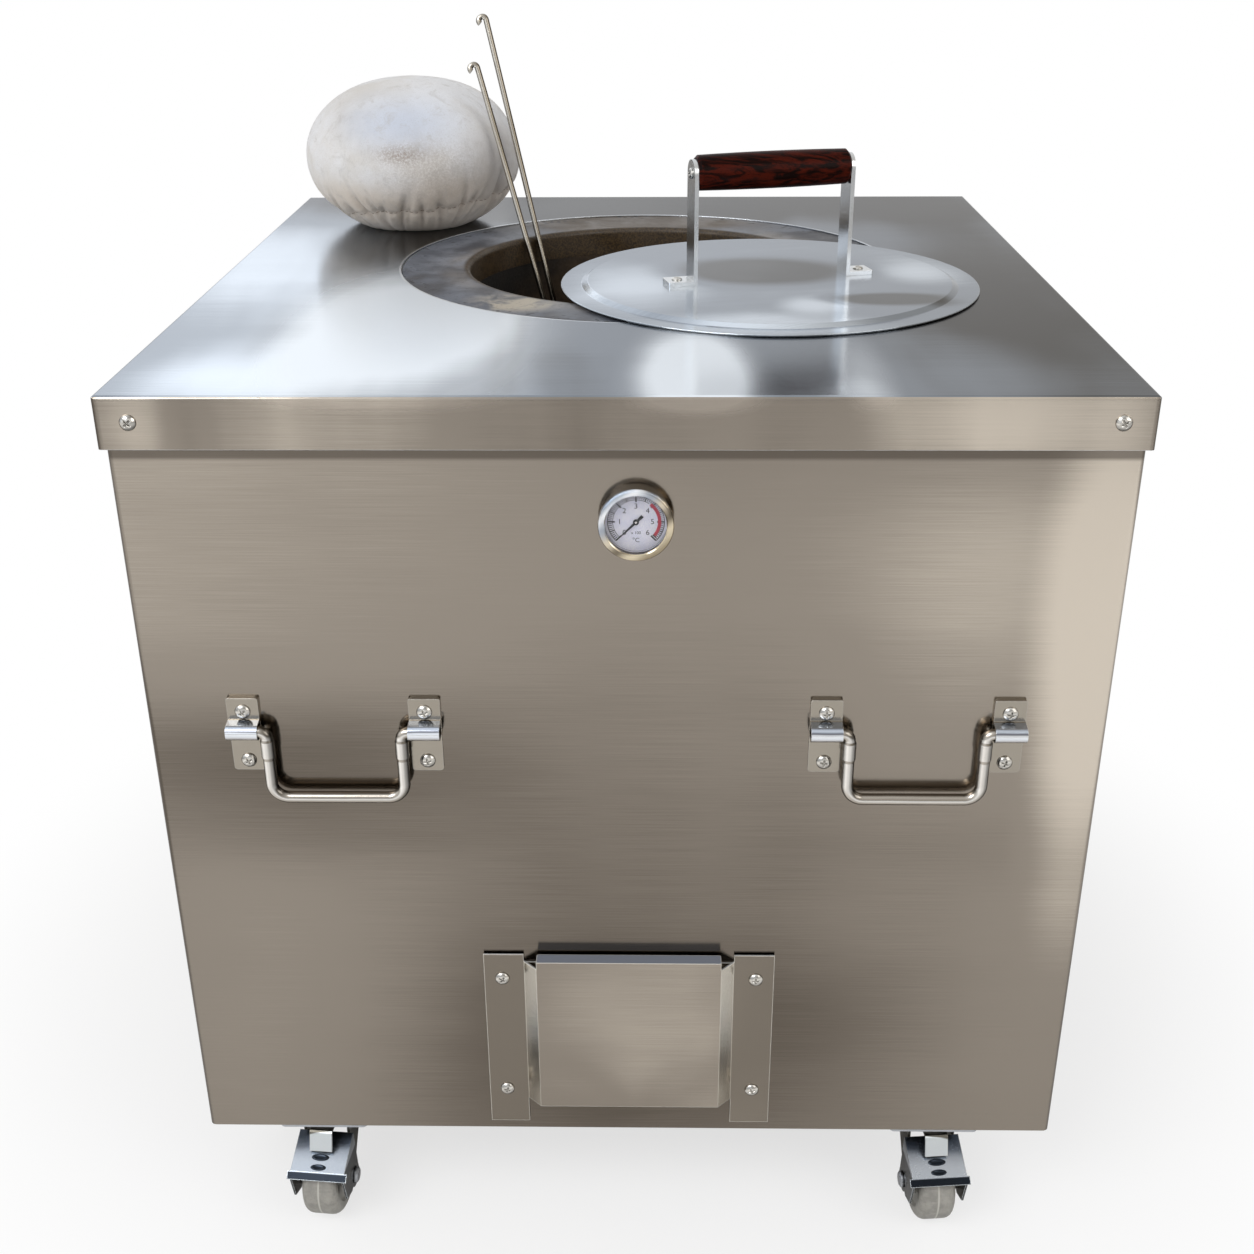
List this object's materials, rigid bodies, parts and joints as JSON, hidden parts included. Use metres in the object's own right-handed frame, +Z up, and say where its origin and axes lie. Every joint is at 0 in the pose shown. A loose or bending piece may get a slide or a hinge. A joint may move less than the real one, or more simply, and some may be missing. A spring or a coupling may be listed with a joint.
{
  "type": "clay tandoor oven",
  "caption": "Bell-shaped clay pot oven in an insulated square steel cabinet on swivel casters, with an air vent, a dial thermometer, folding handles, a loose lid, skewers and a bread cushion.",
  "frame": {"origin": "on the floor under the middle of the cabinet", "axes": "+Z up, +X to the right seen from the front, -Y towards the front with the vent and the thermometer"},
  "size_m": [0.813, 0.8936, 1.0613],
  "materials": {
    "shell_steel": "satin brushed stainless sheet",
    "pan_steel": "brushed stainless sheet",
    "bright_steel": "polished stainless",
    "zinc_steel": "zinc plated",
    "fork_steel": "zinc plated, in shade",
    "frame_steel": "grey primer",
    "pedal_steel": "plated and polished",
    "fired_clay": "dark fired clay",
    "fire_cement": "smooth grey fire cement",
    "mineral_wool": "loose fibre blanket",
    "dial_enamel": "pale enamel",
    "pointer_black": "matt black",
    "clear_window": "clear",
    "wheel_tread": "grey non-marking rubber",
    "dark_wood": "dark red-brown varnish",
    "cushion_cloth": "used off-white cotton"
  },
  "bodies": {
    "cabinet": {"outer_shell": "shell_steel", "rear_panel": "shell_steel", "top_pan": "pan_steel", "base_plate": "shell_steel", "base_frame": "frame_steel", "insulation": "mineral_wool", "clay_pot": "fired_clay", "pot_slab": "fired_clay", "rim_collar": "fire_cement", "vent_duct": "frame_steel", "vent_hood": "shell_steel", "hood_spacers": "zinc_steel", "thermometer_case": "bright_steel", "thermometer_dial": "dial_enamel", "thermometer_window": "clear_window", "thermometer_probe": "bright_steel", "thermometer_nut": "bright_steel", "handle_brackets_front_left": "bright_steel", "handle_brackets_front_right": "bright_steel", "handle_brackets_rear_left": "bright_steel", "handle_brackets_rear_right": "bright_steel", "panel_screws": "bright_steel", "caster_bolts": "zinc_steel", "caster_plate_front_left": "zinc_steel", "caster_plate_front_right": "zinc_steel", "caster_plate_rear_left": "zinc_steel", "caster_plate_rear_right": "zinc_steel"},
    "lift_handle_front_left": {"handle_front_left": "bright_steel"},
    "lift_handle_front_right": {"handle_front_right": "bright_steel"},
    "lift_handle_rear_left": {"handle_rear_left": "bright_steel"},
    "lift_handle_rear_right": {"handle_rear_right": "bright_steel"},
    "swivel_fork_front_left": {"caster_fork_front_left": "fork_steel", "caster_axle_front_left": "zinc_steel"},
    "swivel_fork_front_right": {"caster_fork_front_right": "fork_steel", "caster_axle_front_right": "zinc_steel"},
    "swivel_fork_rear_left": {"caster_fork_rear_left": "fork_steel", "caster_axle_rear_left": "zinc_steel"},
    "swivel_fork_rear_right": {"caster_fork_rear_right": "fork_steel", "caster_axle_rear_right": "zinc_steel"},
    "wheel_front_left": {"caster_wheel_front_left": "wheel_tread"},
    "wheel_front_right": {"caster_wheel_front_right": "wheel_tread"},
    "wheel_rear_left": {"caster_wheel_rear_left": "wheel_tread"},
    "wheel_rear_right": {"caster_wheel_rear_right": "wheel_tread"},
    "pedal_front_left": {"brake_pedal_front_left": "pedal_steel"},
    "pedal_front_right": {"brake_pedal_front_right": "pedal_steel"},
    "pedal_rear_left": {"brake_pedal_rear_left": "pedal_steel"},
    "pedal_rear_right": {"brake_pedal_rear_right": "pedal_steel"},
    "damper": {"vent_damper": "shell_steel"},
    "pointer": {"thermometer_pointer": "pointer_black"},
    "lid": {"lid_disc": "pan_steel", "lid_upright_left": "bright_steel", "lid_upright_right": "bright_steel", "lid_grip": "dark_wood", "lid_screws": "bright_steel"},
    "first_skewer": {"skewer_a": "bright_steel"},
    "second_skewer": {"skewer_b": "bright_steel"},
    "cushion": {"bread_cushion": "cushion_cloth"}
  },
  "joints": [
    {"name": "handle_fold_front_left", "type": "hinge", "parent": "cabinet", "child": "lift_handle_front_left", "pos_m": [-0.2435, -0.4267, 0.547], "axis": [-1, 0, 0], "range_deg": [0, 90]},
    {"name": "handle_fold_front_right", "type": "hinge", "parent": "cabinet", "child": "lift_handle_front_right", "pos_m": [0.2435, -0.4267, 0.547], "axis": [-1, 0, 0], "range_deg": [0, 90]},
    {"name": "handle_fold_rear_left", "type": "hinge", "parent": "cabinet", "child": "lift_handle_rear_left", "pos_m": [-0.2435, 0.4267, 0.547], "axis": [1, 0, 0], "range_deg": [0, 90]},
    {"name": "handle_fold_rear_right", "type": "hinge", "parent": "cabinet", "child": "lift_handle_rear_right", "pos_m": [0.2435, 0.4267, 0.547], "axis": [1, 0, 0], "range_deg": [0, 90]},
    {"name": "caster_swivel_front_left", "type": "hinge", "parent": "cabinet", "child": "swivel_fork_front_left", "pos_m": [-0.293, -0.382, 0.1], "axis": [0, 0, 1], "continuous": true},
    {"name": "caster_swivel_front_right", "type": "hinge", "parent": "cabinet", "child": "swivel_fork_front_right", "pos_m": [0.293, -0.382, 0.1], "axis": [0, 0, 1], "continuous": true},
    {"name": "caster_swivel_rear_left", "type": "hinge", "parent": "cabinet", "child": "swivel_fork_rear_left", "pos_m": [-0.293, 0.382, 0.1], "axis": [0, 0, 1], "continuous": true},
    {"name": "caster_swivel_rear_right", "type": "hinge", "parent": "cabinet", "child": "swivel_fork_rear_right", "pos_m": [0.293, 0.382, 0.1], "axis": [0, 0, 1], "continuous": true},
    {"name": "wheel_spin_front_left", "type": "hinge", "parent": "swivel_fork_front_left", "child": "wheel_front_left", "pos_m": [-0.29509, -0.40591, 0.038], "axis": [0.9962, -0.0872, 0], "continuous": true},
    {"name": "wheel_spin_front_right", "type": "hinge", "parent": "swivel_fork_front_right", "child": "wheel_front_right", "pos_m": [0.29509, -0.40591, 0.038], "axis": [0.9962, 0.0872, 0], "continuous": true},
    {"name": "wheel_spin_rear_left", "type": "hinge", "parent": "swivel_fork_rear_left", "child": "wheel_rear_left", "pos_m": [-0.29509, 0.40591, 0.038], "axis": [0.9962, 0.0872, 0], "continuous": true},
    {"name": "wheel_spin_rear_right", "type": "hinge", "parent": "swivel_fork_rear_right", "child": "wheel_rear_right", "pos_m": [0.29509, 0.40591, 0.038], "axis": [0.9962, -0.0872, 0], "continuous": true},
    {"name": "brake_tilt_front_left", "type": "hinge", "parent": "swivel_fork_front_left", "child": "pedal_front_left", "pos_m": [-0.29509, -0.40591, 0.038], "axis": [0.9962, -0.0872, 0], "range_deg": [0, 12]},
    {"name": "brake_tilt_front_right", "type": "hinge", "parent": "swivel_fork_front_right", "child": "pedal_front_right", "pos_m": [0.29509, -0.40591, 0.038], "axis": [0.9962, 0.0872, 0], "range_deg": [0, 12]},
    {"name": "brake_tilt_rear_left", "type": "hinge", "parent": "swivel_fork_rear_left", "child": "pedal_rear_left", "pos_m": [-0.29509, 0.40591, 0.038], "axis": [-0.9962, -0.0872, 0], "range_deg": [0, 12]},
    {"name": "brake_tilt_rear_right", "type": "hinge", "parent": "swivel_fork_rear_right", "child": "pedal_rear_right", "pos_m": [0.29509, 0.40591, 0.038], "axis": [-0.9962, 0.0872, 0], "range_deg": [0, 12]},
    {"name": "damper_lift", "type": "slide", "parent": "cabinet", "child": "damper", "axis": [0, 0, 1], "range_m": [0, 0.13]},
    {"name": "pointer_turn", "type": "hinge", "parent": "cabinet", "child": "pointer", "pos_m": [0.0095, -0.4215, 0.7335], "axis": [0, 1, 0], "range_deg": [0, 270], "stiffness_Nm_per_rad": 0.0002},
    {"name": "lid_lift", "type": "slide", "parent": "cabinet", "child": "lid", "axis": [0, 0, 1], "range_m": [0, 0.3]},
    {"name": "first_skewer_lift", "type": "slide", "parent": "cabinet", "child": "first_skewer", "axis": [-0.2267, 0.1932, 0.9546], "range_m": [0, 0.3]},
    {"name": "second_skewer_lift", "type": "slide", "parent": "cabinet", "child": "second_skewer", "axis": [-0.2692, 0.2018, 0.9417], "range_m": [0, 0.3]},
    {"name": "cushion_lift", "type": "slide", "parent": "cabinet", "child": "cushion", "axis": [-0.6, 0, 0.8], "range_m": [0, 0.25]}
  ]
}
